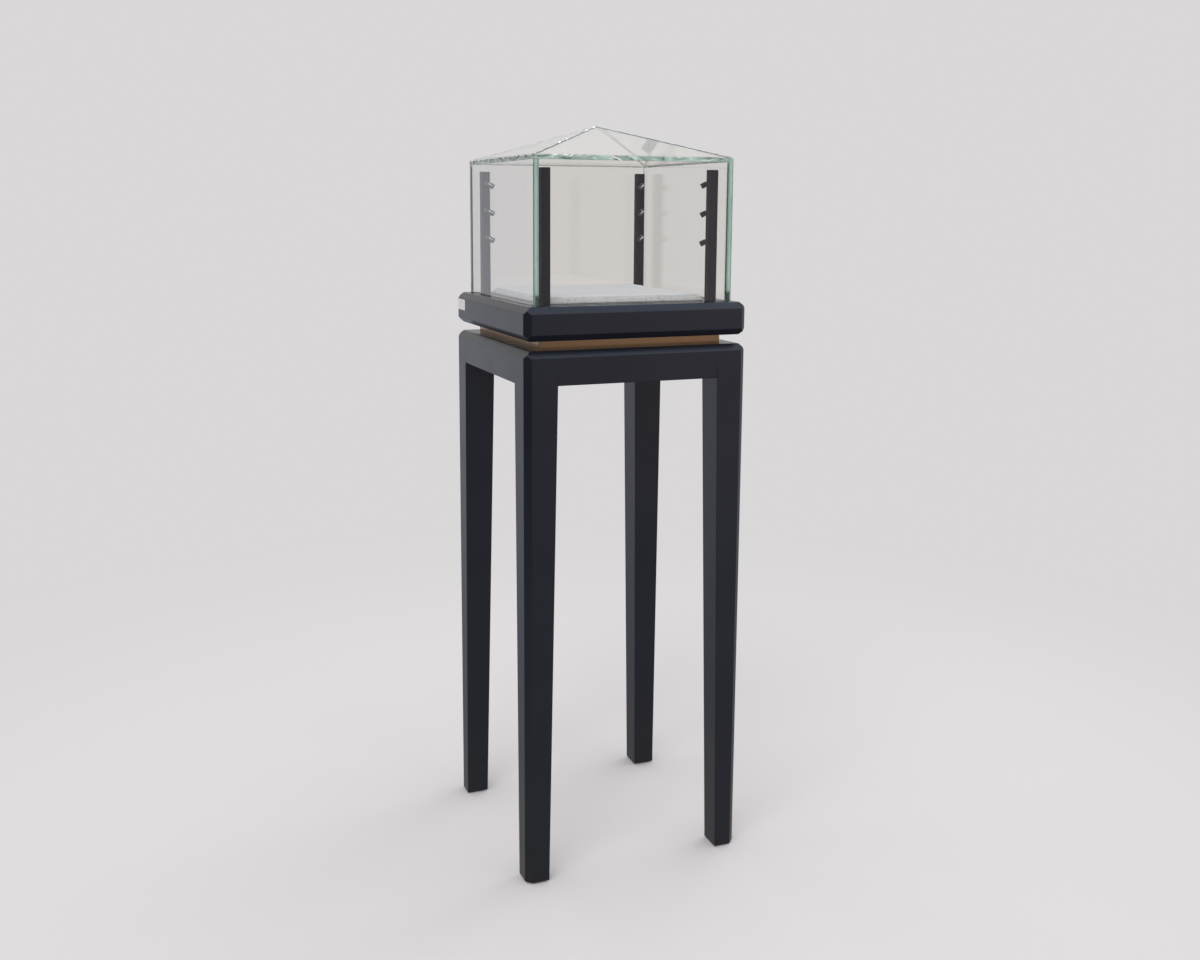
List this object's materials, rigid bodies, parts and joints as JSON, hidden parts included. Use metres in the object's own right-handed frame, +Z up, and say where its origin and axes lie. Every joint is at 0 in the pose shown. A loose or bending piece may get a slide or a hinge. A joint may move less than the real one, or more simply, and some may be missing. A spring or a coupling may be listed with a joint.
{
  "type": "display plinth",
  "caption": "Four-legged museum plinth with a lift-off glass hood under a low pyramid roof, inner light posts with swivelling spotlights and a padded display deck.",
  "frame": {"origin": "on the floor, at the middle of the square plan", "axes": "+Z up; -Y is the front; X runs across the front"},
  "size_m": [0.4502, 0.45, 1.4479],
  "materials": {
    "lacquer": "satin near-black navy lacquer",
    "bronze": "brushed bronze",
    "glass": "clear float glass with polished green edges",
    "black_aluminium": "satin black anodised",
    "lamp_black": "satin black anodised",
    "suede": "light grey suede cloth over foam",
    "plywood": "raw plywood",
    "driver_case": "moulded white plastic",
    "cable": "black sheath",
    "rubber": "matt black",
    "nylon": "moulded black nylon",
    "label": "plain white label, no print"
  },
  "bodies": {
    "stand": {"leg_front_left": "lacquer", "leg_front_right": "lacquer", "leg_back_left": "lacquer", "leg_back_right": "lacquer", "glide_front_left": "nylon", "glide_front_right": "nylon", "glide_back_left": "nylon", "glide_back_right": "nylon", "apron_front": "lacquer", "apron_back": "lacquer", "apron_left": "lacquer", "apron_right": "lacquer", "frame_top": "lacquer", "neck_core": "plywood", "neck_band": "bronze", "case_base_shell": "lacquer", "case_base_cover": "lacquer", "cord_grommet": "rubber", "blank_label": "label", "led_driver": "driver_case", "led_wiring": "cable", "glass_seal": "rubber", "light_post_front_left": "black_aluminium", "light_post_front_right": "black_aluminium", "light_post_back_left": "black_aluminium", "light_post_back_right": "black_aluminium"},
    "glass_hood": {"glass_front": "glass", "glass_back": "glass", "glass_left": "glass", "glass_right": "glass", "roof_front": "glass", "roof_back": "glass", "roof_left": "glass", "roof_right": "glass"},
    "deck": {"deck_board": "plywood", "deck_pad": "suede"},
    "swivel_front_left_1": {"lamp_swivel_front_left_1": "lamp_black"},
    "head_front_left_1": {"lamp_head_front_left_1": "lamp_black"},
    "swivel_front_left_2": {"lamp_swivel_front_left_2": "lamp_black"},
    "head_front_left_2": {"lamp_head_front_left_2": "lamp_black"},
    "swivel_front_left_3": {"lamp_swivel_front_left_3": "lamp_black"},
    "head_front_left_3": {"lamp_head_front_left_3": "lamp_black"},
    "swivel_front_right_1": {"lamp_swivel_front_right_1": "lamp_black"},
    "head_front_right_1": {"lamp_head_front_right_1": "lamp_black"},
    "swivel_front_right_2": {"lamp_swivel_front_right_2": "lamp_black"},
    "head_front_right_2": {"lamp_head_front_right_2": "lamp_black"},
    "swivel_front_right_3": {"lamp_swivel_front_right_3": "lamp_black"},
    "head_front_right_3": {"lamp_head_front_right_3": "lamp_black"},
    "swivel_back_left_1": {"lamp_swivel_back_left_1": "lamp_black"},
    "head_back_left_1": {"lamp_head_back_left_1": "lamp_black"},
    "swivel_back_left_2": {"lamp_swivel_back_left_2": "lamp_black"},
    "head_back_left_2": {"lamp_head_back_left_2": "lamp_black"},
    "swivel_back_left_3": {"lamp_swivel_back_left_3": "lamp_black"},
    "head_back_left_3": {"lamp_head_back_left_3": "lamp_black"},
    "swivel_back_right_1": {"lamp_swivel_back_right_1": "lamp_black"},
    "head_back_right_1": {"lamp_head_back_right_1": "lamp_black"},
    "swivel_back_right_2": {"lamp_swivel_back_right_2": "lamp_black"},
    "head_back_right_2": {"lamp_head_back_right_2": "lamp_black"},
    "swivel_back_right_3": {"lamp_swivel_back_right_3": "lamp_black"},
    "head_back_right_3": {"lamp_head_back_right_3": "lamp_black"}
  },
  "joints": [
    {"name": "hood_lift", "type": "slide", "parent": "stand", "child": "glass_hood", "axis": [0, 0, 1], "range_m": [0, 0.3]},
    {"name": "deck_lift", "type": "slide", "parent": "stand", "child": "deck", "axis": [0, 0, 1], "range_m": [0, 0.06]},
    {"name": "spin_front_left_1", "type": "hinge", "parent": "stand", "child": "swivel_front_left_1", "pos_m": [-0.17, -0.1615, 1.3375], "axis": [0, 1, 0], "range_deg": [-170, 170]},
    {"name": "tilt_front_left_1", "type": "hinge", "parent": "swivel_front_left_1", "child": "head_front_left_1", "pos_m": [-0.17, -0.1535, 1.3375], "axis": [-0.5547, 0, -0.8321], "range_deg": [-64, 25]},
    {"name": "spin_front_left_2", "type": "hinge", "parent": "stand", "child": "swivel_front_left_2", "pos_m": [-0.17, -0.1615, 1.2825], "axis": [0, 1, 0], "range_deg": [-170, 170]},
    {"name": "tilt_front_left_2", "type": "hinge", "parent": "swivel_front_left_2", "child": "head_front_left_2", "pos_m": [-0.17, -0.1535, 1.2825], "axis": [-0.5547, 0, -0.8321], "range_deg": [-64, 25]},
    {"name": "spin_front_left_3", "type": "hinge", "parent": "stand", "child": "swivel_front_left_3", "pos_m": [-0.17, -0.1615, 1.2275], "axis": [0, 1, 0], "range_deg": [-170, 170]},
    {"name": "tilt_front_left_3", "type": "hinge", "parent": "swivel_front_left_3", "child": "head_front_left_3", "pos_m": [-0.17, -0.1535, 1.2275], "axis": [-0.5547, 0, -0.8321], "range_deg": [-64, 25]},
    {"name": "spin_front_right_1", "type": "hinge", "parent": "stand", "child": "swivel_front_right_1", "pos_m": [0.17, -0.1615, 1.3375], "axis": [0, 1, 0], "range_deg": [-170, 170]},
    {"name": "tilt_front_right_1", "type": "hinge", "parent": "swivel_front_right_1", "child": "head_front_right_1", "pos_m": [0.17, -0.1535, 1.3375], "axis": [-0.5547, 0, 0.8321], "range_deg": [-64, 25]},
    {"name": "spin_front_right_2", "type": "hinge", "parent": "stand", "child": "swivel_front_right_2", "pos_m": [0.17, -0.1615, 1.2825], "axis": [0, 1, 0], "range_deg": [-170, 170]},
    {"name": "tilt_front_right_2", "type": "hinge", "parent": "swivel_front_right_2", "child": "head_front_right_2", "pos_m": [0.17, -0.1535, 1.2825], "axis": [-0.5547, 0, 0.8321], "range_deg": [-64, 25]},
    {"name": "spin_front_right_3", "type": "hinge", "parent": "stand", "child": "swivel_front_right_3", "pos_m": [0.17, -0.1615, 1.2275], "axis": [0, 1, 0], "range_deg": [-170, 170]},
    {"name": "tilt_front_right_3", "type": "hinge", "parent": "swivel_front_right_3", "child": "head_front_right_3", "pos_m": [0.17, -0.1535, 1.2275], "axis": [-0.5547, 0, 0.8321], "range_deg": [-64, 25]},
    {"name": "spin_back_left_1", "type": "hinge", "parent": "stand", "child": "swivel_back_left_1", "pos_m": [-0.17, 0.1615, 1.3375], "axis": [0, -1, 0], "range_deg": [-170, 170]},
    {"name": "tilt_back_left_1", "type": "hinge", "parent": "swivel_back_left_1", "child": "head_back_left_1", "pos_m": [-0.17, 0.1535, 1.3375], "axis": [0.5547, 0, 0.8321], "range_deg": [-64, 25]},
    {"name": "spin_back_left_2", "type": "hinge", "parent": "stand", "child": "swivel_back_left_2", "pos_m": [-0.17, 0.1615, 1.2825], "axis": [0, -1, 0], "range_deg": [-170, 170]},
    {"name": "tilt_back_left_2", "type": "hinge", "parent": "swivel_back_left_2", "child": "head_back_left_2", "pos_m": [-0.17, 0.1535, 1.2825], "axis": [0.5547, 0, 0.8321], "range_deg": [-64, 25]},
    {"name": "spin_back_left_3", "type": "hinge", "parent": "stand", "child": "swivel_back_left_3", "pos_m": [-0.17, 0.1615, 1.2275], "axis": [0, -1, 0], "range_deg": [-170, 170]},
    {"name": "tilt_back_left_3", "type": "hinge", "parent": "swivel_back_left_3", "child": "head_back_left_3", "pos_m": [-0.17, 0.1535, 1.2275], "axis": [0.5547, 0, 0.8321], "range_deg": [-64, 25]},
    {"name": "spin_back_right_1", "type": "hinge", "parent": "stand", "child": "swivel_back_right_1", "pos_m": [0.17, 0.1615, 1.3375], "axis": [0, -1, 0], "range_deg": [-170, 170]},
    {"name": "tilt_back_right_1", "type": "hinge", "parent": "swivel_back_right_1", "child": "head_back_right_1", "pos_m": [0.17, 0.1535, 1.3375], "axis": [0.5547, 0, -0.8321], "range_deg": [-64, 25]},
    {"name": "spin_back_right_2", "type": "hinge", "parent": "stand", "child": "swivel_back_right_2", "pos_m": [0.17, 0.1615, 1.2825], "axis": [0, -1, 0], "range_deg": [-170, 170]},
    {"name": "tilt_back_right_2", "type": "hinge", "parent": "swivel_back_right_2", "child": "head_back_right_2", "pos_m": [0.17, 0.1535, 1.2825], "axis": [0.5547, 0, -0.8321], "range_deg": [-64, 25]},
    {"name": "spin_back_right_3", "type": "hinge", "parent": "stand", "child": "swivel_back_right_3", "pos_m": [0.17, 0.1615, 1.2275], "axis": [0, -1, 0], "range_deg": [-170, 170]},
    {"name": "tilt_back_right_3", "type": "hinge", "parent": "swivel_back_right_3", "child": "head_back_right_3", "pos_m": [0.17, 0.1535, 1.2275], "axis": [0.5547, 0, -0.8321], "range_deg": [-64, 25]}
  ]
}
